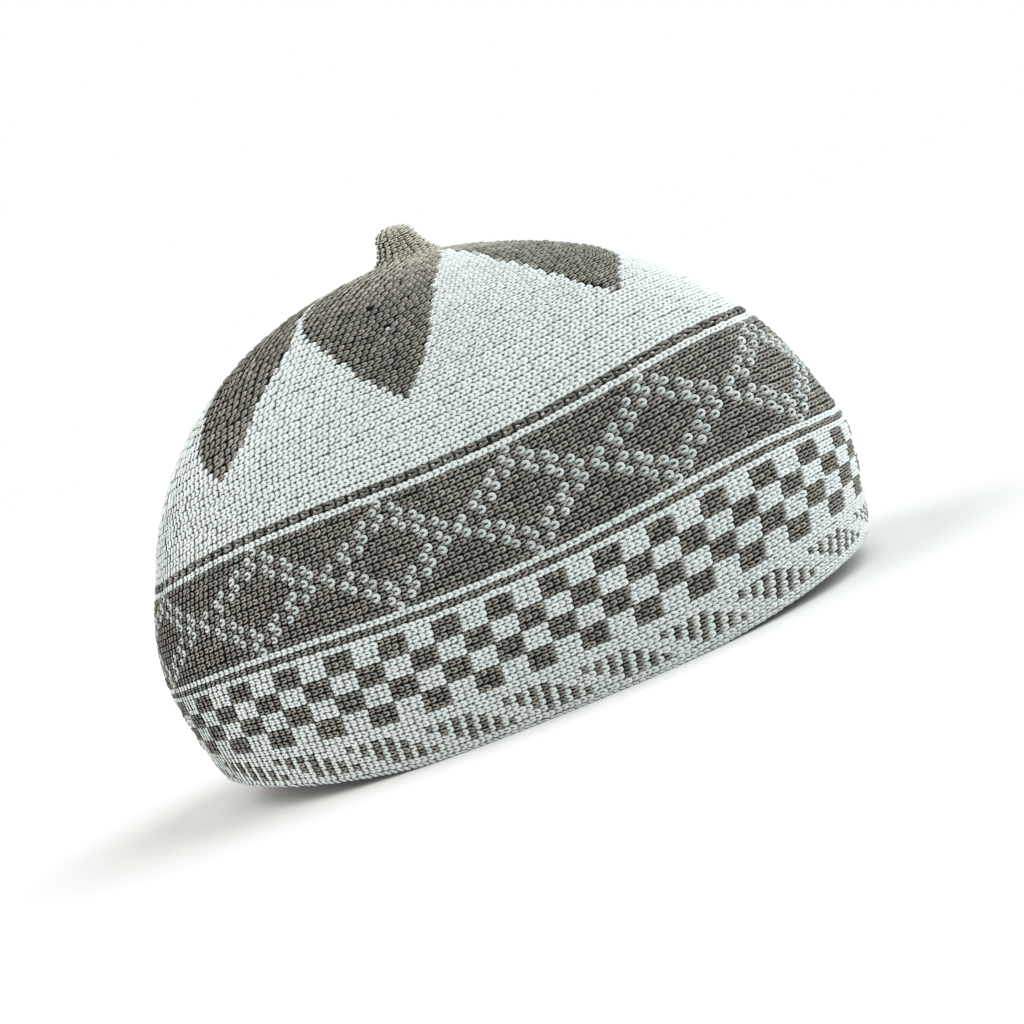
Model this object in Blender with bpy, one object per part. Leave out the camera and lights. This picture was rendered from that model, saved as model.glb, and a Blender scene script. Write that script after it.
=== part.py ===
"""Knitted prayer cap: one piece of thick two-colour knitting.

Metres, +Z up. The cap rests on its rim at z = 0, open side down.
+X is the front, which is the photo's right side. The long axis of the head opening lies along X.
The origin is on the floor, in the middle of the cap's box.
"""
import math

import bpy

# Driving sizes
CAP_LENGTH = 0.200
CAP_WIDTH = 0.150
DOME_HEIGHT = 0.122
WALL = 0.0026
HEM_ROUNDING = 0.0006
RIM_LIFT_FRONT = 0.0065
RIM_LIFT_BACK = 0.0095
NUB_WIDTH = 0.0125
NUB_HEIGHT = 0.0092
NUB_FORWARD = 0.0045
NUB_LEAN = -0.0008

# How round the plan is: 2 is an ellipse, more is squarer
PLAN_POWER = 2.2
# The share of the half length, each way from the middle, over which the rim lies flat on the floor
RIM_FLAT_SHARE = 0.30

# How finely the surfaces are divided
SEGMENTS = 72
ROWS_OUTSIDE = 26
ROWS_INSIDE = 20

YARN_COLOUR = (0.72, 0.75, 0.73, 1.0)
YARN_ROUGHNESS = 0.9

# Sections of the cap from the rim to the foot of the nub.
# height is a share of the dome's height; front and back are shares of the half length,
# and side is a share of the half width.
SECTIONS = (
    {"height": 0.000, "front": 0.952, "back": 0.950, "side": 0.950},
    {"height": 0.060, "front": 0.970, "back": 0.968, "side": 0.970},
    {"height": 0.150, "front": 0.988, "back": 0.986, "side": 0.990},
    {"height": 0.270, "front": 1.000, "back": 1.000, "side": 1.000},
    {"height": 0.400, "front": 0.959, "back": 0.976, "side": 0.970},
    {"height": 0.520, "front": 0.907, "back": 0.923, "side": 0.920},
    {"height": 0.620, "front": 0.836, "back": 0.871, "side": 0.860},
    {"height": 0.720, "front": 0.736, "back": 0.795, "side": 0.772},
    {"height": 0.800, "front": 0.630, "back": 0.711, "side": 0.678},
    {"height": 0.870, "front": 0.505, "back": 0.608, "side": 0.564},
    {"height": 0.930, "front": 0.347, "back": 0.483, "side": 0.424},
    {"height": 0.970, "front": 0.200, "back": 0.345, "side": 0.279},
    {"height": 0.990, "front": 0.105, "back": 0.225, "side": 0.166},
)

# Sections of the nub from its foot to just below its top.
# height is a share of the nub's height, width a share of the nub's width, lean a share of its lean.
NUB_SECTIONS = (
    {"height": 0.00, "width": 1.45, "lean": 0.0},
    {"height": 0.18, "width": 1.20, "lean": 0.1},
    {"height": 0.45, "width": 0.99, "lean": 0.4},
    {"height": 0.72, "width": 0.85, "lean": 0.8},
    {"height": 0.90, "width": 0.62, "lean": 1.0},
    {"height": 0.98, "width": 0.32, "lean": 1.0},
)


def signed_power(value, power):
    """A power that keeps the sign of its base."""
    return math.copysign(abs(value) ** power, value)


def spline(values, place):
    """A smooth curve through evenly numbered values, read at a place between them."""
    last = len(values) - 1
    start = min(int(place), last - 1)
    step = place - start
    before = values[max(start - 1, 0)]
    here = values[start]
    after = values[start + 1]
    beyond = values[min(start + 2, last)]
    turn = 2.0 * here + (after - before) * step
    bend = (2.0 * before - 5.0 * here + 4.0 * after - beyond) * step ** 2
    twist = (3.0 * here - before - 3.0 * after + beyond) * step ** 3
    return 0.5 * (turn + bend + twist)


def section_at(place):
    """The section's shares at a place between the rows of the table."""
    return {name: spline([row[name] for row in SECTIONS], place) for name in SECTIONS[0]}


def rim_lift(along):
    """How far the rim rises off the floor at a point, from its share of the half length."""
    lift = RIM_LIFT_FRONT if along > 0.0 else RIM_LIFT_BACK
    beyond_flat = max(abs(along) - RIM_FLAT_SHARE, 0.0) / (1.0 - RIM_FLAT_SHARE)
    return lift * beyond_flat ** 1.5


def ring(section, half_length, half_width, height, floor_gap=0.0):
    """One closed row of points round the cap, at one section."""
    points = []
    for index in range(SEGMENTS):
        angle = 2.0 * math.pi * index / SEGMENTS
        along = signed_power(math.cos(angle), 2.0 / PLAN_POWER)
        across = signed_power(math.sin(angle), 2.0 / PLAN_POWER)
        reach = section["front"] if along > 0.0 else section["back"]
        lift = rim_lift(along) * (1.0 - section["height"]) ** 2
        shift = NUB_FORWARD * section["height"] ** 6
        points.append((
            half_length * reach * along + shift,
            half_width * section["side"] * across,
            height * section["height"] + lift + floor_gap,
        ))
    return points


def hem_rounding():
    """The rounding of the hem's two edges, never more than the wall can take."""
    return min(HEM_ROUNDING, 0.4 * WALL)


def row_places(count):
    """Places down the section table, evenly spaced from the rim to the last section."""
    last = len(SECTIONS) - 1
    return [last * index / (count - 1) for index in range(count)]


def outer_rows():
    """Rows of the outer surface from the hem's rounding up to the foot of the nub."""
    half_length = CAP_LENGTH / 2.0
    half_width = CAP_WIDTH / 2.0
    rim = section_at(0.0)
    rounding = hem_rounding()
    rows = [ring(rim, half_length - rounding, half_width - rounding, DOME_HEIGHT)]
    rows.append(ring(rim, half_length, half_width, DOME_HEIGHT, rounding))
    for place in row_places(ROWS_OUTSIDE)[1:]:
        rows.append(ring(section_at(place), half_length, half_width, DOME_HEIGHT))
    return rows


def nub_rows():
    """Rows of the nub, each a circle, from its foot to just below its top."""
    rows = []
    for section in NUB_SECTIONS:
        radius = NUB_WIDTH / 2.0 * section["width"]
        centre = NUB_FORWARD + NUB_LEAN * section["lean"]
        level = DOME_HEIGHT + NUB_HEIGHT * section["height"]
        rows.append([
            (
                centre + radius * math.cos(2.0 * math.pi * index / SEGMENTS),
                radius * math.sin(2.0 * math.pi * index / SEGMENTS),
                level,
            )
            for index in range(SEGMENTS)
        ])
    return rows


def inner_rows():
    """Rows of the hollow from the hem's rounding up to the middle of the crown."""
    half_length = CAP_LENGTH / 2.0 - WALL
    half_width = CAP_WIDTH / 2.0 - WALL
    height = DOME_HEIGHT - WALL
    rim = section_at(0.0)
    rounding = hem_rounding()
    rows = [ring(rim, half_length + rounding, half_width + rounding, height)]
    rows.append(ring(rim, half_length, half_width, height, rounding))
    for place in row_places(ROWS_INSIDE)[1:]:
        rows.append(ring(section_at(place), half_length, half_width, height))
    return rows


def loft(rows, top):
    """Join the rows by quads, close them to a point at the top, and list vertices and faces."""
    vertices = [point for row in rows for point in row]
    faces = []
    for row in range(len(rows) - 1):
        for index in range(SEGMENTS):
            after = (index + 1) % SEGMENTS
            low = row * SEGMENTS
            high = low + SEGMENTS
            faces.append((low + index, low + after, high + after, high + index))
    vertices.append(top)
    last = (len(rows) - 1) * SEGMENTS
    for index in range(SEGMENTS):
        faces.append((last + index, last + (index + 1) % SEGMENTS, len(vertices) - 1))
    return vertices, faces


def cap_mesh():
    """The whole cap as one closed skin: outside, hollow, and the rim that joins them."""
    lean = NUB_LEAN * NUB_SECTIONS[-1]["lean"]
    nub_top = (NUB_FORWARD + lean, 0.0, DOME_HEIGHT + NUB_HEIGHT)
    outside, faces = loft(outer_rows() + nub_rows(), nub_top)
    hollow_top = (NUB_FORWARD, 0.0, DOME_HEIGHT - WALL)
    inside, hollow_faces = loft(inner_rows(), hollow_top)
    start = len(outside)
    for face in hollow_faces:
        faces.append(tuple(start + vertex for vertex in reversed(face)))
    for index in range(SEGMENTS):
        after = (index + 1) % SEGMENTS
        faces.append((start + index, start + after, after, index))
    mesh = bpy.data.meshes.new("knitted_cap")
    mesh.from_pydata(outside + inside, [], faces)
    mesh.update()
    return mesh


def yarn_material():
    """The cap's main yarn: pale, soft and matt."""
    material = bpy.data.materials.new("pale_yarn")
    material.use_nodes = True
    shader = material.node_tree.nodes["Principled BSDF"]
    shader.inputs["Base Color"].default_value = YARN_COLOUR
    shader.inputs["Roughness"].default_value = YARN_ROUGHNESS
    shader.inputs["Metallic"].default_value = 0.0
    return material


def build():
    """Clear the scene and make the cap."""
    for item in list(bpy.data.objects):
        bpy.data.objects.remove(item, do_unlink=True)
    cap = bpy.data.objects.new("knitted_cap", cap_mesh())
    bpy.context.scene.collection.objects.link(cap)
    cap.data.materials.append(yarn_material())
    cap.data.shade_smooth()


build()
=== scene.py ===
"""The knitted prayer cap's looks: every stitch is a loop of yarn laid on the cap's form.

The knitting runs round the cap. A course is one stitch wide and is counted round the cap,
a wale is one stitch high and is counted from the rim up to the top of the nub.
"""
import math

import bpy
import numpy as np
from mathutils import Matrix, Vector


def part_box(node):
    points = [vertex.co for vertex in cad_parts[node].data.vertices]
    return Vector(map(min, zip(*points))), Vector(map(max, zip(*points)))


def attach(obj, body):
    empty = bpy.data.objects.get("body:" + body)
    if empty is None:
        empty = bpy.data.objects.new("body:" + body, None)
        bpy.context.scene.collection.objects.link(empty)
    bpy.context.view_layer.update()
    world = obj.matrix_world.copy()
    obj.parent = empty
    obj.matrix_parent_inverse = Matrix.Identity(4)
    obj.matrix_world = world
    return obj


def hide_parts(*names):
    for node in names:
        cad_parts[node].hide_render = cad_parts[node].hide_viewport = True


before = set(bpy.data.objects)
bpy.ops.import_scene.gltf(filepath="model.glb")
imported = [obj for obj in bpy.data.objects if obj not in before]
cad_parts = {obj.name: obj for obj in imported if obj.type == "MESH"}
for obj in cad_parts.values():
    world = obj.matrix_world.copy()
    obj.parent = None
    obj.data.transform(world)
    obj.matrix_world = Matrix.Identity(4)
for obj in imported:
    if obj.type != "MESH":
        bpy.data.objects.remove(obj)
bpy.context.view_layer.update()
box_low, box_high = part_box("knitted_cap")

# The cap's form, in metres: the box gives the overall sizes, and the rest is the solid's own. Heights,
# fronts, backs, sides, widths and leans in the tables are shares of the full ones.
HALF_LENGTH = (box_high.x - box_low.x) / 2.0
HALF_WIDTH = (box_high.y - box_low.y) / 2.0
NUB_HEIGHT = 0.0092
DOME_HEIGHT = box_high.z - NUB_HEIGHT
WALL = 0.0026
RIM_LIFT_FRONT = 0.0065
RIM_LIFT_BACK = 0.0095
RIM_FLAT_SHARE = 0.30
RIM_LIFT_POWER = 1.5
NUB_WIDTH = 0.0125
NUB_FORWARD = 0.0045
NUB_FORWARD_POWER = 6
NUB_LEAN = -0.0008
PLAN_POWER = 2.2

SECTIONS = (
    {"height": 0.000, "front": 0.952, "back": 0.950, "side": 0.950},
    {"height": 0.060, "front": 0.970, "back": 0.968, "side": 0.970},
    {"height": 0.150, "front": 0.988, "back": 0.986, "side": 0.990},
    {"height": 0.270, "front": 1.000, "back": 1.000, "side": 1.000},
    {"height": 0.400, "front": 0.959, "back": 0.976, "side": 0.970},
    {"height": 0.520, "front": 0.907, "back": 0.923, "side": 0.920},
    {"height": 0.620, "front": 0.836, "back": 0.871, "side": 0.860},
    {"height": 0.720, "front": 0.736, "back": 0.795, "side": 0.772},
    {"height": 0.800, "front": 0.630, "back": 0.711, "side": 0.678},
    {"height": 0.870, "front": 0.505, "back": 0.608, "side": 0.564},
    {"height": 0.930, "front": 0.347, "back": 0.483, "side": 0.424},
    {"height": 0.970, "front": 0.200, "back": 0.345, "side": 0.279},
    {"height": 0.990, "front": 0.105, "back": 0.225, "side": 0.166},
)
NUB_SECTIONS = (
    {"height": 0.00, "width": 1.45, "lean": 0.0},
    {"height": 0.18, "width": 1.20, "lean": 0.1},
    {"height": 0.45, "width": 0.99, "lean": 0.4},
    {"height": 0.72, "width": 0.85, "lean": 0.8},
    {"height": 0.90, "width": 0.62, "lean": 1.0},
    {"height": 0.98, "width": 0.32, "lean": 1.0},
    {"height": 1.00, "width": 0.06, "lean": 1.0},
)

# The stitch count round the band, and the wales at which the cap's parts begin and end
COURSES = 252
WEDGES = 6
DASHES_LOW = 2
DASHES_HIGH = 6
CHECKS_LOW = 8
CHECKS_HIGH = 20
THIN_BROWN_STRIPE = 21
LATTICE_LOW = 23
LATTICE_HIGH = 38
TOP_BROWN_STRIPE = 39
CROWN_LOW = 40
PETAL_LOW = 49
PETAL_TIP = 50
NUB_LOW = 79
NUB_TOP = 89
HEM_WALES = 2

# Heights of the two stripes' middles above the floor, in metres. Each is a curve of the place
# from back, -1, to front, +1: its level in the middle, and what the powers 1 to 4 of the place add.
LOWER_STRIPE = {"wale": 22.5, "level": 0.0387, "powers": (0.0025, 0.0107, -0.0007, -0.0113)}
UPPER_STRIPE = {"wale": 38.5, "level": 0.0681, "powers": (0.0031, 0.0096, 0.0026, -0.0106)}

# Where the petals' tips lie, as a share of the way from the upper stripe to the nub: in the middle,
# and what the powers 1 and 2 of the place from back to front add
TIP_SHARE = 0.290
TIP_POWERS = (0.053, -0.046)

# Where course 0 crosses the near side, and how much narrower the stitches are there than on the far
# side, and at the two sides than at the ends
COURSE_ZERO_X = -0.0106
NEAR_TIGHTNESS = 0.128
SIDE_TIGHTNESS = 0.070

# How far forward the columns step for each wale, in courses: below the lower stripe, in the lattice,
# and how much more so in the lattice at the front
COLUMN_LEAN = 0.145
LATTICE_LEAN = 0.060
LATTICE_LEAN_FRONT = 0.350

# The edges of the six petals, as angles in degrees from the near side, two for each petal. On the near
# side they spread apart towards the nub. The petal that faces the near side is the second.
PETAL_EDGES = (
    {"wale": 49, "angles": (-47.3, -47.3, -5.9, -5.9, 46.4, 46.4, 110, 110, 175, 175, 234, 234)},
    {"wale": 52, "angles": (-54.8, -43.8, -9.4, -2.6, 42.3, 55.5, 106, 114, 171, 179, 230, 238)},
    {"wale": 55, "angles": (-61.2, -41.8, -13.8, -0.7, 40.0, 70.0, 103, 117, 168, 182, 227, 241)},
    {"wale": 58, "angles": (-67.0, -41.5, -17.7, 0.8, 38.0, 80.0, 101, 122, 165, 186, 222, 245)},
    {"wale": 61, "angles": (-75.5, -39.9, -23.4, 2.7, 37.0, 88.0, 99, 127, 161, 190, 217, 248)},
    {"wale": 64, "angles": (-84.0, -40.7, -32.2, 4.9, 36.5, 94.0, 99, 133, 156, 194, 211, 251)},
    {"wale": 67, "angles": (-92.0, -45.8, -41.0, 8.8, 37.0, 97.0, 100, 138, 152, 198, 207, 253)},
    {"wale": 70, "angles": (-100, -57.0, -51.8, 15.0, 39.0, 101, 105, 143, 149, 202, 206, 254)},
    {"wale": 73, "angles": (-106, -67.5, -62.0, 26.0, 40.5, 104, 108, 148, 152, 204, 208, 250)},
    {"wale": 76, "angles": (-112, -80.0, -73.0, 38.0, 45.0, 106, 110, 152, 156, 205, 209, 245)},
)

# How far, in wales, the knitting bends down along the middle of each petal
SEAM_BEND = 1.2

# The yarn's radius, the crown stitches' widths, the height of a full wale, and the least height of any
# yarn above the floor, in metres
YARN_RADIUS = 0.00040
CROWN_STITCH = {"pale": 0.0019, "brown": 0.0023}
STITCH_HEIGHT = 0.00172
FLOOR_GAP = 0.00005

# The photograph's camera: its distance, height angle and roll, and the point it looks at
CAMERA_DISTANCE = 0.680
CAMERA_ELEVATION = math.radians(4.75)
CAMERA_ROLL = math.radians(22.0)
METRES_PER_PIXEL = 0.000277
IMAGE_SIDE = 1024
SENSOR_WIDTH = 36.0
CLIP_START = 0.01
CLIP_END = 60.0
LOOK_AT = Vector((0.0055, 0.0, 0.0459))

# How finely the form is read: steps round the cap and, for the band's length, in each of those, steps
# for each wale, and rows of points up the dome, the nub and the hem
ANGLE_STEPS = 720
ARC_STEPS = 8
WALE_STEPS = 4
DOME_STEPS = 480
NUB_STEPS = 90
HEM_STEPS = 11

# Where the path starts inside the cap, as multiples of the hem's height up the table of sections, and
# how far inside the ends of the tables of the form any place is kept
INNER_PLACES = (3.0, 1.5, 1.0)
TABLE_MARGIN = 0.001

random = np.random.default_rng(7)


def spline(values, place):
    """A smooth curve through evenly numbered values, read at an array of places."""
    values = np.asarray(values)
    last = len(values) - 1
    start = np.minimum(place.astype(int), last - 1)
    step = place - start
    before = values[np.maximum(start - 1, 0)]
    here = values[start]
    after = values[start + 1]
    beyond = values[np.minimum(start + 2, last)]
    turn = 2.0 * here + (after - before) * step
    bend = (2.0 * before - 5.0 * here + 4.0 * after - beyond) * step ** 2
    twist = (3.0 * here - before - 3.0 * after + beyond) * step ** 3
    return 0.5 * (turn + bend + twist)


def smooth_step(share):
    """0 below 0 and 1 above 1, with a smooth rise between."""
    share = np.clip(share, 0.0, 1.0)
    return share * share * (3.0 - 2.0 * share)


def unit(vectors):
    """The vectors, each made 1 long."""
    return vectors / np.maximum(np.linalg.norm(vectors, axis=-1, keepdims=True), 1e-12)


def read_table(table, places):
    """Each column of a table of sections, read smoothly at the places."""
    return {name: spline([row[name] for row in table], places) for name in table[0]}


def plan_direction(angle):
    """The plan's outline for a half length and half width of 1. Angle 0 is the near side, -Y."""
    power = 2.0 / PLAN_POWER
    along = np.sign(np.sin(angle)) * np.abs(np.sin(angle)) ** power
    across = -np.sign(np.cos(angle)) * np.abs(np.cos(angle)) ** power
    return along, across


def rim_lift(along):
    """How far the rim rises off the floor towards the front and back."""
    lift = np.where(along > 0.0, RIM_LIFT_FRONT, RIM_LIFT_BACK)
    beyond_flat = np.maximum(np.abs(along) - RIM_FLAT_SHARE, 0.0) / (1.0 - RIM_FLAT_SHARE)
    return lift * beyond_flat ** RIM_LIFT_POWER


def dome_points(angles, places, inset=0.0):
    """Points of the dome, one row for each angle, one column for each place up the sections."""
    rows = read_table(SECTIONS, places)
    along, across = plan_direction(angles)
    reach = np.where(along[:, None] > 0.0, rows["front"][None], rows["back"][None])
    lift = rim_lift(along)[:, None] * (1.0 - rows["height"][None]) ** 2
    shift = NUB_FORWARD * rows["height"][None] ** NUB_FORWARD_POWER
    x = (HALF_LENGTH - inset) * reach * along[:, None] + shift
    y = (HALF_WIDTH - inset) * rows["side"][None] * across[:, None]
    z = (DOME_HEIGHT - inset) * rows["height"][None] + lift
    return np.stack([x, y, z], axis=-1)


def nub_points(angles, places):
    """Points of the nub, laid out as the dome's."""
    rows = read_table(NUB_SECTIONS, places)
    radius = NUB_WIDTH / 2.0 * rows["width"][None]
    x = NUB_FORWARD + NUB_LEAN * rows["lean"][None] + radius * np.sin(angles)[:, None]
    y = -radius * np.cos(angles)[:, None]
    z = np.broadcast_to(DOME_HEIGHT + NUB_HEIGHT * rows["height"][None], x.shape)
    return np.stack([x, y, z], axis=-1)


def hem_points(outer_start, inner_start):
    """The hem's round underside, from the inner wall to the outer wall."""
    turns = np.linspace(math.pi, 0.0, HEM_STEPS + 2)[None, 1:-1, None]
    middle = (outer_start + inner_start)[:, None] / 2.0
    half = (outer_start - inner_start)[:, None] / 2.0
    depth = np.linalg.norm(half, axis=-1, keepdims=True)
    down = np.array([0.0, 0.0, -1.0])
    return middle + half * np.cos(turns) + down * depth * np.sin(turns)


def stripe_height(stripe, along):
    """A stripe's height above the floor at a place from back, -1, to front, +1."""
    height = stripe["level"]
    for power, share in enumerate(stripe["powers"], start=1):
        height = height + share * along ** power
    return height


def wale_places(wales, along, low, lower, upper, foot, top):
    """How far up the path from inside the hem each wale lies, from the places of the main ones."""
    pitch = (lower - low) / LOWER_STRIPE["wale"]
    tip = upper + (foot - upper) * (TIP_SHARE + TIP_POWERS[0] * along + TIP_POWERS[1] * along ** 2)
    knots = (-HEM_WALES, 0.0, LOWER_STRIPE["wale"], UPPER_STRIPE["wale"], PETAL_TIP, NUB_LOW, NUB_TOP)
    return np.interp(wales, knots, (low - HEM_WALES * pitch, low, lower, upper, tip, foot, top))


def petal_edges(wale):
    """The petals' edges at one wale, in degrees."""
    rows = [row["wale"] for row in PETAL_EDGES]
    columns = zip(*(row["angles"] for row in PETAL_EDGES))
    return np.array([np.interp(wale, rows, angles) for angles in columns])


def seam_bend(angles, wales):
    """How far the knitting lies off its even place, in wales, for each angle and wale."""
    share = np.clip((wales - PETAL_TIP) / (NUB_LOW - PETAL_TIP), 0.0, 1.0)
    bend = np.zeros((len(angles), len(wales)))
    for index, wale in enumerate(wales):
        edges = petal_edges(wale)
        seams = (edges[0::2] + edges[1::2]) / 2.0
        gaps = (edges[1::2] + np.append(edges[2::2], edges[0] + 360.0)) / 2.0
        places = np.concatenate([[gaps[-1] - 360.0], np.stack([seams, gaps], axis=-1).ravel()])
        turned = (np.degrees(angles) - places[0]) % 360.0 + places[0]
        from_seam = np.interp(turned, places, [1.0] + [0.0, 1.0] * WEDGES)
        bend[:, index] = SEAM_BEND * np.sin(math.pi * share[index]) * (from_seam - 1.0)
    return bend


def surface_tables():
    """The cap's outer form read at angles round it and wales up it, with its normals."""
    angles = np.linspace(-math.pi, math.pi, ANGLE_STEPS + 1)
    last = len(SECTIONS) - 1
    hem_place = WALL / 2.0 / (DOME_HEIGHT * SECTIONS[1]["height"])
    outer = dome_points(angles, np.linspace(hem_place, last, DOME_STEPS))
    inner = dome_points(angles, np.array(INNER_PLACES) * hem_place, WALL)
    hem = hem_points(outer[:, 0], inner[:, -1])
    nub = nub_points(angles, np.linspace(0.0, len(NUB_SECTIONS) - 1.0, NUB_STEPS))
    path = np.concatenate([inner, hem, outer, nub], axis=1)
    step = np.linalg.norm(np.diff(path, axis=1), axis=-1)
    length = np.concatenate([np.zeros((len(angles), 1)), np.cumsum(step, axis=1)], axis=1)
    bottom = len(INNER_PLACES) + HEM_STEPS // 2
    outer_first = len(INNER_PLACES) + HEM_STEPS
    foot = outer_first + outer.shape[1]
    along = plan_direction(angles)[0]
    wales = np.arange(-HEM_WALES * WALE_STEPS, NUB_TOP * WALE_STEPS + 1) / WALE_STEPS
    bend = seam_bend(angles, wales)
    points = np.empty((len(angles), len(wales), 3))
    for index in range(len(angles)):
        heights = path[index, outer_first:foot, 2]
        lengths = length[index, outer_first:foot]
        lower = np.interp(stripe_height(LOWER_STRIPE, along[index]), heights, lengths)
        upper = np.interp(stripe_height(UPPER_STRIPE, along[index]), heights, lengths)
        places = wale_places(wales + bend[index], along[index], length[index, bottom], lower, upper,
                             length[index, foot], length[index, -1])
        for axis in range(3):
            points[index, :, axis] = np.interp(places, length[index], path[index, :, axis])
    round_step = np.roll(points[:-1], -1, axis=0) - np.roll(points[:-1], 1, axis=0)
    round_step = np.concatenate([round_step, round_step[:1]], axis=0)
    normals = unit(np.cross(round_step, np.gradient(points, axis=1)))
    normals[:, -1] = (0.0, 0.0, 1.0)
    return points, normals


SURFACE_POINTS, SURFACE_NORMALS = surface_tables()


def arc_table():
    """A table of arc length round the band against angle, starting on the near side."""
    angles = np.linspace(-math.pi, math.pi, ARC_STEPS * ANGLE_STEPS + 1)
    along, across = plan_direction(angles)
    step = np.hypot(np.diff(along) * HALF_LENGTH, np.diff(across) * HALF_WIDTH)
    length = np.concatenate([[0.0], np.cumsum(step)])
    return angles, length - length[len(length) // 2], length[-1]


ARC_ANGLES, ARC_LENGTHS, ARC_TOTAL = arc_table()


def angle_at(course):
    """The angle round the cap of a place counted in courses."""
    turn = 2.0 * math.pi * course / COURSES
    tight = NEAR_TIGHTNESS * np.sin(turn) + SIDE_TIGHTNESS / 2.0 * np.sin(2.0 * turn)
    arc = COURSE_ZERO_X + ARC_TOTAL * (turn - tight) / (2.0 * math.pi)
    arc = (arc + ARC_TOTAL / 2.0) % ARC_TOTAL - ARC_TOTAL / 2.0
    return np.interp(arc, ARC_LENGTHS, ARC_ANGLES)


def column_angle(course, wale):
    """The angle round the cap of a place counted in courses and wales, as the columns lean."""
    below = COLUMN_LEAN * np.minimum(wale - LOWER_STRIPE["wale"], 0.0)
    front = np.maximum(np.sin(2.0 * math.pi * course / COURSES), 0.0)
    rate = LATTICE_LEAN + LATTICE_LEAN_FRONT * front ** 2
    above = rate * np.clip(wale - LOWER_STRIPE["wale"], 0.0, UPPER_STRIPE["wale"] - LOWER_STRIPE["wale"])
    return angle_at(course + below + above)


def surface(course, wale):
    """Points and normals of the cap's outer form at places counted in courses and wales."""
    row = (column_angle(course, wale) + math.pi) / (2.0 * math.pi) * ANGLE_STEPS
    last_column = SURFACE_POINTS.shape[1] - 1
    column = np.clip((wale + HEM_WALES) * WALE_STEPS, 0.0, last_column - TABLE_MARGIN)
    row = np.clip(row, 0.0, ANGLE_STEPS - TABLE_MARGIN)
    low_row = row.astype(int)
    low_column = column.astype(int)
    row_step = (row - low_row)[..., None]
    column_step = (column - low_column)[..., None]

    def read(table):
        near = table[low_row, low_column] * (1.0 - column_step)
        near = near + table[low_row, low_column + 1] * column_step
        far = table[low_row + 1, low_column] * (1.0 - column_step)
        far = far + table[low_row + 1, low_column + 1] * column_step
        return near * (1.0 - row_step) + far * row_step

    return read(SURFACE_POINTS), unit(read(SURFACE_NORMALS))


def ring_length(wale):
    """The length once round the cap along the middle of a wale."""
    places = np.linspace(0.0, COURSES, COURSES + 1)
    ring = surface(places, np.full(COURSES + 1, wale + 0.5))[0]
    return np.linalg.norm(np.diff(ring, axis=0), axis=1).sum()


RING_LENGTHS = [ring_length(wale) for wale in range(NUB_TOP)]


# The lattice's repeat and the course of its first apex, and its pale stitches, wale by wale from either
# edge to the middle, as courses from the apex
LATTICE_REPEAT = 21
LATTICE_APEX = 10
LATTICE_ROWS = (
    (0,),
    (-1, 2),
    (-3, 0, 3),
    (-4, -1, 2, 5),
    (-6, -3, 3, 6),
    (-7, -4, 5, 8),
    (-9, -6, 6, 9),
    (-10, 8),
)

# The checks' width in courses and height in wales, and the course they start from
CHECK_COURSES = 4
CHECK_WALES = 3
CHECK_START = 1

# The dashes' repeat, how many there are in it, and the step from one to the next, in courses
DASH_REPEAT = 12
DASH_COUNT = 4
DASH_STEP = 2

# The course at the back, where each wale's stitches start
START_COURSE = -63

# The wale at which the petals close, and the two small flaws in the near petal: a hole where a stitch is
# left out, and one through which the pale yarn shows. They lie a little forward of its seam, in degrees.
PETALS_CLOSED = 77
HOLE_WALE = 66
SPECK_WALE = 61
NEAR_PETAL = 1
FLAW_ASIDE = 4.8


def brown_dash(course, wale):
    """Brown in the rows of dashes over the hem: four short strokes, stepped back wale by wale."""
    shift = DASH_STEP * (DASHES_HIGH - 1 - wale)
    place = (course - shift) % DASH_REPEAT
    return (place % DASH_STEP == 0) & (place < DASH_COUNT * DASH_STEP)


def brown_check(course, wale):
    """Brown in the checked band."""
    from_top = (CHECKS_HIGH - 1 - wale) // CHECK_WALES
    across = (course - CHECK_START) // CHECK_COURSES
    return (across + from_top) % 2 == 0


def brown_lattice(course, wale):
    """Brown in the lattice band: everywhere but on the two crossing rows of pale stitches."""
    from_edge = min(wale - LATTICE_LOW, LATTICE_HIGH - 1 - wale)
    place = (course - LATTICE_APEX) % LATTICE_REPEAT
    pale = np.zeros(course.shape, dtype=bool)
    for offset in LATTICE_ROWS[from_edge]:
        pale |= place == offset % LATTICE_REPEAT
    return ~pale


def flaw_stitch(course, wale):
    """Which stitch of a wale is left out for a flaw, a little forward of the near petal's seam."""
    seam = petal_edges(wale + 0.5)[2 * NEAR_PETAL: 2 * NEAR_PETAL + 2].mean()
    angles = np.degrees(column_angle(course, wale + 0.5))
    chosen = np.zeros(course.shape, dtype=bool)
    chosen[np.argmin(np.abs(angles - seam - FLAW_ASIDE))] = True
    return chosen


def brown_petal(course, wale):
    """Brown on the crown's petals, which widen from their tips and leave narrow gaps to the nub."""
    if wale >= PETALS_CLOSED:
        return np.ones(course.shape, dtype=bool)
    edges = petal_edges(wale + 0.5)
    angles = np.degrees(column_angle(course, wale + 0.5))
    petal = np.zeros(course.shape, dtype=bool)
    for low, high in zip(edges[0::2], edges[1::2]):
        petal |= (angles - low) % 360.0 < high - low
    return petal


def is_brown(course, wale):
    """Whether each stitch of one wale is knitted in brown. Courses are the stitches' middles."""
    whole = np.floor(course).astype(int)
    if DASHES_LOW <= wale < DASHES_HIGH:
        return brown_dash(whole, wale)
    if CHECKS_LOW <= wale < CHECKS_HIGH:
        return brown_check(whole, wale)
    if LATTICE_LOW <= wale < LATTICE_HIGH:
        return brown_lattice(whole, wale)
    if wale >= PETAL_LOW:
        return brown_petal(course, wale)
    return np.full(course.shape, wale in (THIN_BROWN_STRIPE, TOP_BROWN_STRIPE))


# How far, in stitches, the petals' brown reaches under the pale at their edges, so that no gap shows
BROWN_OVERLAP = 0.22


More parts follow.
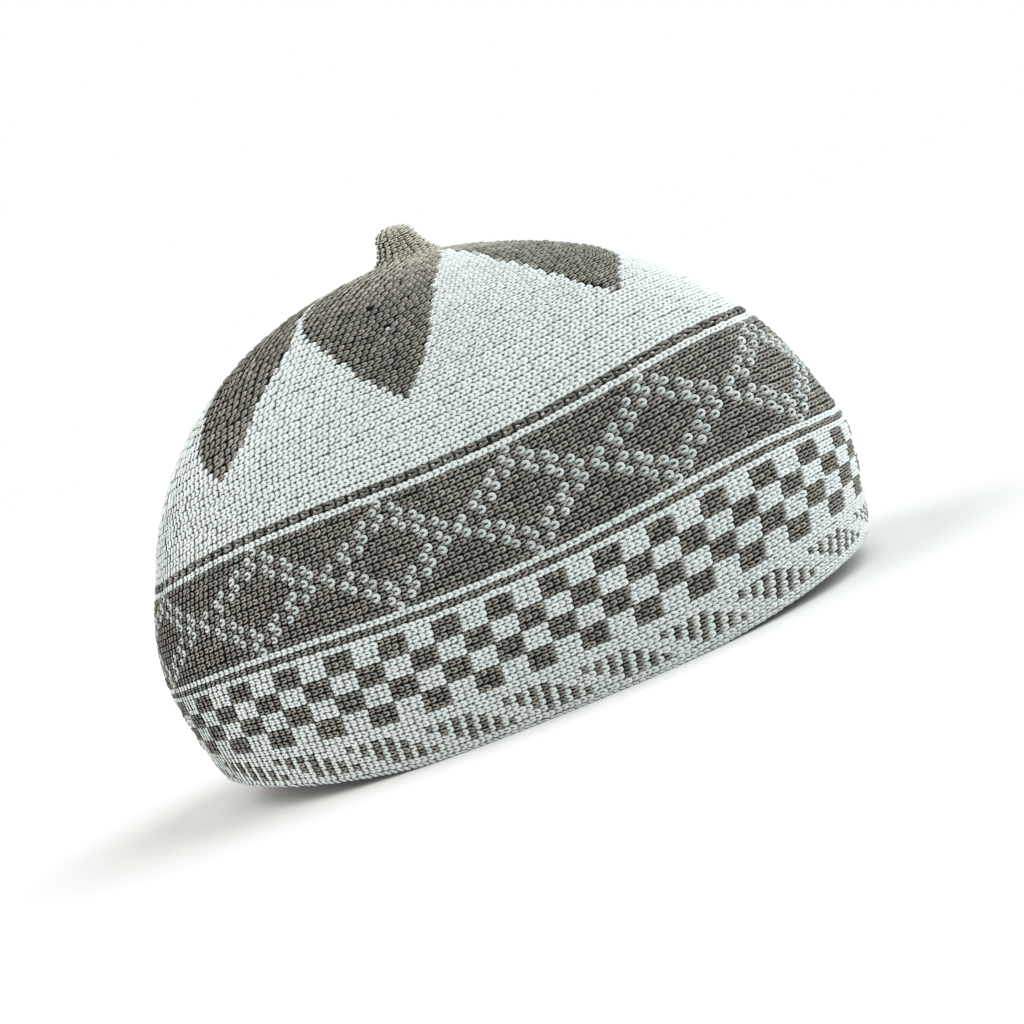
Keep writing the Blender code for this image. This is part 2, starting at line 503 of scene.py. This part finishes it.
def wale_count(wale, colour):
    """How many stitches of one colour a wale has round the cap. The top stripe's are twice as wide."""
    if wale == TOP_BROWN_STRIPE:
        return COURSES // 2
    if wale < CROWN_LOW:
        return COURSES
    return min(COURSES, WEDGES * max(1, round(RING_LENGTHS[wale] / CROWN_STITCH[colour] / WEDGES)))


def even_stitches(wale, colour):
    """The middles of stitches laid evenly once round a wale, in courses, and their width."""
    count = wale_count(wale, colour)
    width = COURSES / count
    return START_COURSE + width * (np.arange(count) + 0.5), width


def wale_stitches(wale, colour):
    """The middles of a wale's stitches of one colour, in courses, and their width."""
    middles, width = even_stitches(wale, colour)
    if colour == "brown":
        overlap = BROWN_OVERLAP * width
        brown = is_brown(middles - overlap, wale) | is_brown(middles + overlap, wale)
        if wale in (HOLE_WALE, SPECK_WALE):
            brown &= ~flaw_stitch(middles, wale)
        return middles[brown], width
    return middles[~is_brown(middles, wale)], width


# Half of one stitch, from its tail to its closed end, which points forward. The other half is its mirror
# image. along and up are shares of the stitch's width and height, size makes the whole stitch larger, and
# tilt raises its front end. lift is in yarn radii: the tails dive under the stitch behind. light is
# painted
# light: how little the yarn is shaded by its neighbours, painted into its colour, so the tails are in
# painted shade. wide and thick are the yarn's radii against the usual one, and sides are the points
# across its near half.
PALE_LOOP = {
    "sides": 4,
    "size": (1.0, 1.0),
    "tilt": 0.0,
    "wide": 1.17,
    "thick": 0.95,
    "rows": (
        {"along": -0.58, "up": -0.15, "lift": -0.90, "light": 0.62},
        {"along": 0.06, "up": -0.29, "lift": -0.05, "light": 0.95},
        {"along": 0.49, "up": -0.15, "lift": 0.35, "light": 1.00},
    ),
}
BROWN_LOOP = {
    "sides": 4,
    "size": (1.0, 1.0),
    "tilt": 0.06,
    "wide": 0.86,
    "thick": 1.05,
    "rows": (
        {"along": -0.64, "up": -0.12, "lift": -1.20, "light": 0.35},
        {"along": 0.00, "up": -0.28, "lift": 0.00, "light": 0.95},
        {"along": 0.52, "up": -0.15, "lift": 0.40, "light": 1.04},
    ),
}
WIDE_LOOP = {
    "sides": 4,
    "size": (1.0, 1.0),
    "tilt": 0.0,
    "wide": 0.95,
    "thick": 1.10,
    "rows": (
        {"along": -0.56, "up": -0.16, "lift": -1.00, "light": 0.30},
        {"along": -0.15, "up": -0.36, "lift": 0.10, "light": 0.80},
        {"along": 0.42, "up": -0.18, "lift": 0.30, "light": 0.90},
    ),
}
FLOAT_LOOP = {
    "sides": 4,
    "size": (1.0, 1.0),
    "tilt": 0.0,
    "wide": 0.55,
    "thick": 0.80,
    "rows": (
        {"along": -0.50, "up": -0.08, "lift": -1.10, "light": 0.60},
        {"along": 0.00, "up": -0.12, "lift": -0.50, "light": 0.95},
        {"along": 0.40, "up": -0.08, "lift": -0.80, "light": 0.80},
    ),
}
LONE_LOOP = {
    "sides": 6,
    "size": (1.14, 1.22),
    "tilt": 0.0,
    "wide": 1.06,
    "thick": 1.05,
    "rows": (
        {"along": -0.52, "up": -0.16, "lift": -1.30, "light": 0.00},
        {"along": -0.28, "up": -0.24, "lift": -0.40, "light": 0.16},
        {"along": -0.01, "up": -0.30, "lift": 0.20, "light": 0.34},
        {"along": 0.28, "up": -0.26, "lift": 0.50, "light": 0.46},
        {"along": 0.46, "up": -0.11, "lift": 0.60, "light": 0.46},
    ),
}

# The length of yarn in which its plies turn once, how far they turn across its near half, and how much
# painted light the yarn's flanks keep against its ridge, which paints shade on the flanks
YARN_TURN = 0.0011
TURN_ACROSS = 1.6
PAINTED_FLANK_LIGHT = 0.35

# The size of the yarn at a stitch's two ends, and how much stitches differ from one another
END_TAPER = 0.75
SIZE_SPREAD = 0.05
TILT_SPREAD = 0.09
ALONG_SPREAD = 0.04
UP_SPREAD = 0.035
LIFT_SPREAD = 0.15

# How much painted light brightens the yarn towards the nub, as if lit from above, in tones, and from
# which wale
PAINTED_TOP_LIGHT = 7.5
PAINTED_TOP_LIGHT_LOW = 64


def whole_loop(loop):
    """The columns of a loop's table, with the half mirrored to the whole."""
    rows = loop["rows"]
    columns = {name: np.array([row[name] for row in rows]) for name in rows[0]}
    other = {name: values[::-1] for name, values in columns.items()}
    other["up"] = -other["up"]
    return {name: np.concatenate([columns[name], other[name]]) for name in columns}


def loop_vertices(loop, courses, wales, widths):
    """Vertices of many loops of yarn, with each one's twist along the yarn and its painted light and
    shade.
    """
    table = whole_loop(loop)
    count = len(courses)
    grow = 1.0 + random.normal(0.0, SIZE_SPREAD, (count, 1))
    turn = loop["tilt"] + random.normal(0.0, TILT_SPREAD, (count, 1))
    along_off = random.normal(0.0, ALONG_SPREAD, (count, 1))
    up_off = random.normal(0.0, UP_SPREAD, (count, 1))
    along = table["along"] * loop["size"][0] * grow + along_off
    up = table["up"] * loop["size"][1] * grow + turn * table["along"] + up_off
    middle, normal = surface(courses, wales)
    width = surface(courses + widths / 2.0, wales)[0] - surface(courses - widths / 2.0, wales)[0]
    height = surface(courses, wales + 0.5)[0] - surface(courses, wales - 0.5)[0]
    upward = unit(np.cross(normal, unit(width)))
    height = np.sum(height * upward, axis=-1, keepdims=True) * upward
    rise = (table["lift"] + random.normal(0.0, LIFT_SPREAD, (count, 1)) - 1.0) * YARN_RADIUS
    centre = middle[:, None] + along[..., None] * width[:, None] + up[..., None] * height[:, None]
    centre = centre + rise[..., None] * normal[:, None]
    normals = np.broadcast_to(normal[:, None], centre.shape)
    forward = unit(np.gradient(centre, axis=1))
    side = unit(np.cross(forward, normals))
    top = np.cross(side, forward)
    radius = YARN_RADIUS * (1.0 + random.normal(0.0, SIZE_SPREAD, (count, 1)))
    radius = radius * np.ones(len(table["along"]))
    radius[:, (0, -1)] *= END_TAPER
    turns = np.linspace(0.0, math.pi, loop["sides"])
    wide = loop["wide"] * np.linalg.norm(height, axis=-1) / STITCH_HEIGHT
    ring = side[:, :, None] * (wide[:, None, None, None] * np.cos(turns)[:, None])
    ring = ring + top[:, :, None] * (loop["thick"] * np.sin(turns))[:, None]
    vertices = centre[:, :, None] + ring * radius[:, :, None, None]
    vertices[..., 2] = np.maximum(vertices[..., 2], FLOOR_GAP)
    step = np.linalg.norm(np.diff(centre, axis=1), axis=-1)
    run = np.concatenate([np.zeros((count, 1)), np.cumsum(step, axis=1)], axis=1)
    twist = run[:, :, None] / YARN_TURN * 2.0 * math.pi + turns * TURN_ACROSS
    # Painted light: full on the yarn's ridge and painted shade on its flanks, times the loop's painted
    # light along it
    painted_round_light = PAINTED_FLANK_LIGHT + (1.0 - PAINTED_FLANK_LIGHT) * np.sin(turns)
    light = table["light"][:, None] * painted_round_light * np.ones((count, 1, 1))
    return vertices, twist, light


def loop_faces(rings, sides, count):
    """Faces of many loops: the sides of the yarn and its two cut ends, as strips of quads."""
    faces = []
    for ring in range(rings - 1):
        for side in range(sides):
            after = (side + 1) % sides
            low = ring * sides
            high = low + sides
            faces.append((low + side, low + after, high + after, high + side))
    last = (rings - 1) * sides
    for side in range(1, sides - 2, 2):
        faces.append((0, side + 2, side + 1, side))
        faces.append((last, last + side, last + side + 1, last + side + 2))
    starts = np.arange(count)[:, None, None] * rings * sides
    return (np.array(faces)[None] + starts).reshape(-1, 4)


def mesh_object(name, vertices, faces, material):
    """An object from arrays of vertices and quads, shaded smooth."""
    mesh = bpy.data.meshes.new(name)
    mesh.vertices.add(len(vertices))
    mesh.vertices.foreach_set("co", np.asarray(vertices, dtype=np.float32).ravel())
    mesh.loops.add(faces.size)
    mesh.loops.foreach_set("vertex_index", faces.astype(np.int32).ravel())
    mesh.polygons.add(len(faces))
    mesh.polygons.foreach_set("loop_start", np.arange(len(faces), dtype=np.int32) * faces.shape[1])
    mesh.update(calc_edges=True)
    mesh.validate()
    mesh.shade_smooth()
    mesh.materials.append(material)
    thing = bpy.data.objects.new(name, mesh)
    bpy.context.scene.collection.objects.link(thing)
    return thing


def add_attribute(mesh, name, domain, values):
    """A number for each vertex or face, for the material to read."""
    layer = mesh.attributes.new(name, "FLOAT", domain)
    layer.data.foreach_set("value", np.asarray(values, dtype=np.float32).ravel())


def stitch_piece(name, lots, loop, material):
    """One piece of many stitches of one yarn."""
    courses, wales, widths = (np.concatenate(part) for part in zip(*lots))
    vertices, twist, light = loop_vertices(loop, courses, wales, widths)
    rings, sides = vertices.shape[1:3]
    faces = loop_faces(rings, sides, len(courses))
    piece = mesh_object(name, vertices.reshape(-1, 3), faces, material)
    tone_and_painted_light = random.normal(0.0, 1.0, len(courses))
    # Each stitch's own random tone, plus painted light that brightens the stitches towards the nub as if
    # lit from above
    tone_and_painted_light = tone_and_painted_light + PAINTED_TOP_LIGHT * smooth_step((wales - PAINTED_TOP_LIGHT_LOW) / (NUB_TOP - PAINTED_TOP_LIGHT_LOW))
    add_attribute(piece.data, "tone_and_painted_light", "POINT", np.repeat(tone_and_painted_light, rings * sides))
    add_attribute(piece.data, "twist", "POINT", twist)
    add_attribute(piece.data, "light", "POINT", light)
    return piece


# The zones of the cap: the stitches of each are one piece for each yarn
ZONES = (
    {"name": "hem_and_dashes", "low": -1, "high": CHECKS_LOW},
    {"name": "checks", "low": CHECKS_LOW, "high": CHECKS_HIGH},
    {"name": "lower_stripes", "low": CHECKS_HIGH, "high": LATTICE_LOW},
    {"name": "lattice", "low": LATTICE_LOW, "high": LATTICE_HIGH},
    {"name": "upper_stripes", "low": LATTICE_HIGH, "high": CROWN_LOW},
    {"name": "crown_lower", "low": CROWN_LOW, "high": PETAL_TIP + 2},
    {"name": "crown_upper", "low": PETAL_TIP + 2, "high": NUB_LOW},
    {"name": "nub", "low": NUB_LOW, "high": NUB_TOP},
)

# The loops that differ from their yarn's own, by zone and yarn
LOOPS = {
    ("lattice", "pale"): LONE_LOOP,
    ("upper_stripes", "brown"): WIDE_LOOP,
}

# The pale yarn shows as a dot through each wide stitch of the top stripe: its place from the stitch's
# tail, its size in courses, and its height in wales above the stripe's foot. It shows once in the near
# petal too, where its size is a share of the stitch that is left out.
FLOAT_PLACE = 0.62
FLOAT_WIDTH = 0.5
FLOAT_WALE = 0.45
SPECK_WIDTH = 0.62


def make_stitches(pale_yarn, brown_yarn):
    """All the stitches, as one piece for each zone and yarn."""
    pieces = []
    for zone in ZONES:
        lots = {"pale": [], "brown": []}
        for wale in range(zone["low"], zone["high"]):
            for colour in lots:
                middles, width = wale_stitches(wale, colour)
                if len(middles):
                    wales = np.full(len(middles), wale + 0.5)
                    lots[colour].append((middles, wales, np.full(len(middles), width)))
        for colour, material in (("pale", pale_yarn), ("brown", brown_yarn)):
            if lots[colour]:
                loop = LOOPS.get((zone["name"], colour), BROWN_LOOP if colour == "brown" else PALE_LOOP)
                piece = stitch_piece(f"{zone['name']}_{colour}", lots[colour], loop, material)
                pieces.append(piece)
    return pieces


def make_dots(pale_yarn):
    """The dots of pale yarn that show through the top stripe, and the one in the near petal."""
    places = START_COURSE + 2.0 * np.arange(COURSES // 2) + FLOAT_PLACE
    heights = np.full(len(places), TOP_BROWN_STRIPE + FLOAT_WALE)
    lots = [(places, heights, np.full(len(places), FLOAT_WIDTH))]
    petal, width = even_stitches(SPECK_WALE, "brown")
    speck = petal[flaw_stitch(petal, SPECK_WALE)]
    lots.append((speck, np.array([SPECK_WALE + 0.5]), np.array([SPECK_WIDTH * width])))
    dots = stitch_piece("dots_pale", lots, FLOAT_LOOP, pale_yarn)
    return dots


# How far the cloth behind the stitches lies under them, and the lining: its rows, the place up the
# table of sections at which they start, and its ridges' relief, which every second column has a share of
BACKING_DEPTH = 1.9 * YARN_RADIUS
LINING_ROWS = 70
LINING_LOW = 0.2
LINING_RELIEF = 0.00022
LINING_BETWEEN = 0.4


def make_backing(material):
    """The cloth behind the stitches: their far halves outside, purl ridges inside."""
    columns = np.arange(COURSES) + float(START_COURSE)
    wales = np.arange(0, NUB_TOP + 1)
    course_grid, wale_grid = np.meshgrid(columns, wales.astype(float), indexing="xy")
    points, normals = surface(course_grid, wale_grid)
    outside = points - normals * BACKING_DEPTH
    places = np.linspace(len(SECTIONS) - 1.0, LINING_LOW, LINING_ROWS)
    inside = np.swapaxes(dome_points(angle_at(columns), places, WALL), 0, 1)
    ridge = np.where(np.arange(LINING_ROWS) % 2 == 0, 1.0, -1.0)[:, None, None]
    waver = np.where(np.arange(COURSES) % 2 == 0, 1.0, LINING_BETWEEN)[None, :, None]
    inward = unit(inside * np.array([-1.0, -1.0, 0.0]))
    inside = inside + inward * ridge * waver * LINING_RELIEF
    rows = np.concatenate([inside, outside], axis=0)
    count = len(rows)
    first = np.arange(count - 1)[:, None] * COURSES
    column = np.arange(COURSES)[None]
    after = (column + 1) % COURSES
    faces = np.stack([first + column, first + after,
                      first + COURSES + after, first + COURSES + column], axis=-1)
    backing = mesh_object("backing", rows.reshape(-1, 3), faces.reshape(-1, 4), material)
    inner_wales = np.linspace(NUB_LOW, 0, LINING_ROWS).astype(int)
    face_wales = [int(wale) for wale in inner_wales] + list(range(NUB_TOP))
    brown = np.array([is_brown(columns + 0.5, wale) for wale in face_wales[: count - 1]])
    add_attribute(backing.data, "brown", "FACE", brown)
    return backing


# The yarns' colours from painted deep shade to painted full light, and beyond it for the painted light
# towards the nub, and the places of those tones on the ramp
PALE_YARN_COLOURS = {
    "deep": (0.40, 0.45, 0.435),
    "middle": (0.60, 0.655, 0.64),
    "light": (0.72, 0.775, 0.765),
    "painted_top_light": (0.78, 0.835, 0.825),
}
BROWN_YARN_COLOURS = {
    "deep": (0.018, 0.017, 0.015),
    "middle": (0.085, 0.082, 0.071),
    "light": (0.300, 0.291, 0.251),
    "painted_top_light": (0.600, 0.580, 0.485),
}
TONE_PLACES = {"deep": 0.09, "middle": 0.41, "light": 0.72, "painted_top_light": 0.98}
# The backing's colours: each yarn's painted deep shade, for the far halves of the stitches
PALE_SHADOW = (0.18, 0.205, 0.195)
BROWN_SHADOW = (0.014, 0.013, 0.012)

# How a point's place on the ramp adds up: shares of the stitch's own tone and its painted light towards
# the nub, of the fibres and of broad patches on top of its painted light and shade, then scaled and
# shifted
TONE_SHARE = 0.07
FIBRE_SHARE = 0.44
PATCH_SHARE = 0.22
PLACE_SCALE = 0.75
PLACE_SHIFT = -0.25

# Scales of the noises, as repeats in a metre, how much the plies add to the fibres' relief, and how
# strong the yarn's and the backing's relief is
FIBRE_SCALE = 3600.0
PATCH_SCALE = 60.0
BACKING_SCALE = 1500.0
FLOOR_SCALE = 30.0
PLY_SHARE = 0.35
YARN_RELIEF = {"strength": 0.75, "distance": 0.00014}
BACKING_RELIEF = {"strength": 0.6, "distance": 0.0003}

# The colour sockets of a mix node
MIX_FIRST = 6
MIX_SECOND = 7
MIX_RESULT = 2


def shader_material(name, roughness, specular, sheen):
    """A new material with a Principled shader whose even values are set."""
    material = bpy.data.materials.new(name)
    material.use_nodes = True
    shader = material.node_tree.nodes["Principled BSDF"]
    shader.inputs["Roughness"].default_value = roughness
    shader.inputs["Specular IOR Level"].default_value = specular
    shader.inputs["Sheen Weight"].default_value = sheen
    shader.inputs["Sheen Roughness"].default_value = 0.5
    return material, material.node_tree, shader


def attribute_node(tree, name):
    """The output of a node that reads one of the mesh's own numbers."""
    node = tree.nodes.new("ShaderNodeAttribute")
    node.attribute_name = name
    return node.outputs["Fac"]


def noise_node(tree, scale, detail):
    """The output of a noise that keeps to the object."""
    place = tree.nodes.new("ShaderNodeTexCoord")
    node = tree.nodes.new("ShaderNodeTexNoise")
    node.inputs["Scale"].default_value = scale
    node.inputs["Detail"].default_value = detail
    tree.links.new(place.outputs["Object"], node.inputs["Vector"])
    return node.outputs["Fac"]


def math_node(tree, operation, first, second, third=None):
    """The output of one step of arithmetic on node outputs and plain numbers."""
    node = tree.nodes.new("ShaderNodeMath")
    node.operation = operation
    for socket, value in zip(node.inputs, (first, second, third)):
        if isinstance(value, bpy.types.NodeSocket):
            tree.links.new(value, socket)
        elif value is not None:
            socket.default_value = value
    return node.outputs[0]


def bump_link(tree, shader, height, strength, distance):
    """Relief from a height, on the shader's normal."""
    bump = tree.nodes.new("ShaderNodeBump")
    bump.inputs["Strength"].default_value = strength
    bump.inputs["Distance"].default_value = distance
    tree.links.new(height, bump.inputs["Height"])
    tree.links.new(bump.outputs["Normal"], shader.inputs["Normal"])


def yarn_material(name, colours, sheen):
    """Twisted yarn: plies and fibres as relief, painted shade where it dives and on its flanks, and its
    own tone in each stitch with painted light towards the nub.
    """
    material, tree, shader = shader_material(name, roughness=0.9, specular=0.15, sheen=sheen)
    fibres = noise_node(tree, FIBRE_SCALE, detail=3.0)
    patches = noise_node(tree, PATCH_SCALE, detail=3.0)
    tone_and_painted_light = attribute_node(tree, "tone_and_painted_light")
    # The mesh's painted light and shade sets where the colour lies on the ramp, from painted deep shade
    # to painted light
    place = math_node(tree, "MULTIPLY_ADD", tone_and_painted_light, TONE_SHARE, attribute_node(tree, "light"))
    place = math_node(tree, "MULTIPLY_ADD", fibres, FIBRE_SHARE, place)
    place = math_node(tree, "MULTIPLY_ADD", patches, PATCH_SHARE, place)
    place = math_node(tree, "MULTIPLY_ADD", place, PLACE_SCALE, PLACE_SHIFT)
    ramp = tree.nodes.new("ShaderNodeValToRGB")
    stops = ramp.color_ramp.elements
    for stop, tone_name in zip(stops, ("deep", "painted_top_light")):
        stop.position = TONE_PLACES[tone_name]
        stop.color = colours[tone_name] + (1.0,)
    for tone_name in ("middle", "light"):
        stops.new(TONE_PLACES[tone_name]).color = colours[tone_name] + (1.0,)
    tree.links.new(place, ramp.inputs["Fac"])
    tree.links.new(ramp.outputs["Color"], shader.inputs["Base Color"])
    ply = math_node(tree, "SINE", attribute_node(tree, "twist"), None)
    relief = math_node(tree, "MULTIPLY_ADD", ply, PLY_SHARE, fibres)
    bump_link(tree, shader, relief, **YARN_RELIEF)
    return material


def backing_material():
    """The far halves of the stitches, coloured in the painted deep shade of each yarn."""
    material, tree, shader = shader_material("stitch_backing_painted_shade", roughness=0.95, specular=0.05, sheen=0.0)
    mix = tree.nodes.new("ShaderNodeMix")
    mix.data_type = "RGBA"
    tree.links.new(attribute_node(tree, "brown"), mix.inputs["Factor"])
    mix.inputs[MIX_FIRST].default_value = PALE_SHADOW + (1.0,)
    mix.inputs[MIX_SECOND].default_value = BROWN_SHADOW + (1.0,)
    tree.links.new(mix.outputs[MIX_RESULT], shader.inputs["Base Color"])
    bump_link(tree, shader, noise_node(tree, BACKING_SCALE, detail=2.0), **BACKING_RELIEF)
    return material


# The floor's shade, how much that varies, and how far the floor reaches each way, in metres
FLOOR_SHADE = 0.82
FLOOR_GRAIN = 0.01
FLOOR_REACH = 15.0


def make_floor():
    """A wide pale floor."""
    material, tree, shader = shader_material("pale_floor", roughness=0.95, specular=0.0, sheen=0.0)
    grain = noise_node(tree, FLOOR_SCALE, detail=2.0)
    shade = math_node(tree, "MULTIPLY_ADD", grain, FLOOR_GRAIN, FLOOR_SHADE)
    tree.links.new(shade, shader.inputs["Base Color"])
    corners = np.array([(-1.0, -1.0, 0.0), (1.0, -1.0, 0.0), (1.0, 1.0, 0.0), (-1.0, 1.0, 0.0)])
    floor = mesh_object("floor", corners * FLOOR_REACH, np.array([(0, 1, 2, 3)]), material)


# The two lamps: the direction each shines from, its width in degrees, its power and its colour
KEY_LIGHT = {
    "direction": (0.90, 0.08, 0.64),
    "softness": 75.0,
    "power": 3.35,
    "colour": (0.95, 0.99, 1.0),
}
SIDE_LIGHT = {
    "direction": (-0.92, 0.02, 0.58),
    "softness": 75.0,
    "power": 2.85,
    "colour": (1.0, 0.98, 0.93),
}

# The sky's brightness up to one height and from another, as shares of straight up
SKY_LOW = {"brightness": 1.0, "height": 0.20}
SKY_HIGH = {"brightness": 0.33, "height": 0.30}


def sun_light(name, direction, softness, power, colour):
    """A wide soft lamp far away, that shines from a direction."""
    data = bpy.data.lights.new(name, "SUN")
    data.angle = math.radians(softness)
    data.energy = power
    data.color = colour
    lamp = bpy.data.objects.new(name, data)
    lamp.rotation_euler = Vector(direction).to_track_quat("Z", "Y").to_euler()
    bpy.context.scene.collection.objects.link(lamp)


def make_lights():
    """Soft studio light: a cool key high on the right, a warm weaker one on the left, and a pale sky
    that is bright near the floor and dimmer overhead."""
    sun_light("key_light", **KEY_LIGHT)
    sun_light("side_light", **SIDE_LIGHT)
    world = bpy.data.worlds.new("studio")
    world.use_nodes = True
    tree = world.node_tree
    sky = tree.nodes["Background"]
    place = tree.nodes.new("ShaderNodeTexCoord")
    split = tree.nodes.new("ShaderNodeSeparateXYZ")
    tree.links.new(place.outputs["Generated"], split.inputs[0])
    ramp = tree.nodes.new("ShaderNodeValToRGB")
    for stop, sky_part in zip(ramp.color_ramp.elements, (SKY_LOW, SKY_HIGH)):
        stop.position = sky_part["height"]
        stop.color = (sky_part["brightness"],) * 3 + (1.0,)
    tree.links.new(split.outputs["Z"], ramp.inputs["Fac"])
    tree.links.new(ramp.outputs["Color"], sky.inputs["Color"])
    bpy.context.scene.world = world


def make_camera():
    """The photograph's view: near level, from the cap's side, rolled so that the front is up."""
    data = bpy.data.cameras.new("camera")
    data.sensor_width = SENSOR_WIDTH
    data.lens = CAMERA_DISTANCE / METRES_PER_PIXEL / IMAGE_SIDE * SENSOR_WIDTH
    data.clip_start = CLIP_START
    data.clip_end = CLIP_END
    camera = bpy.data.objects.new("camera", data)
    back = Vector((0.0, -math.cos(CAMERA_ELEVATION), math.sin(CAMERA_ELEVATION)))
    level = Matrix.Rotation(math.pi / 2.0 - CAMERA_ELEVATION, 4, "X")
    roll = Matrix.Rotation(-CAMERA_ROLL, 4, "Z")
    camera.matrix_world = Matrix.Translation(LOOK_AT + back * CAMERA_DISTANCE) @ level @ roll
    bpy.context.scene.collection.objects.link(camera)
    bpy.context.scene.camera = camera


make_camera()
make_lights()
make_floor()
PALE_YARN = yarn_material("pale_yarn", PALE_YARN_COLOURS, 0.15)
BROWN_YARN = yarn_material("brown_yarn", BROWN_YARN_COLOURS, 0.05)
cap_pieces = make_stitches(PALE_YARN, BROWN_YARN)
cap_pieces.append(make_dots(PALE_YARN))
cap_pieces.append(make_backing(backing_material()))
for cap_piece in cap_pieces:
    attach(cap_piece, "root")
    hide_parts("knitted_cap")

bpy.context.scene.view_settings.view_transform = "Standard"
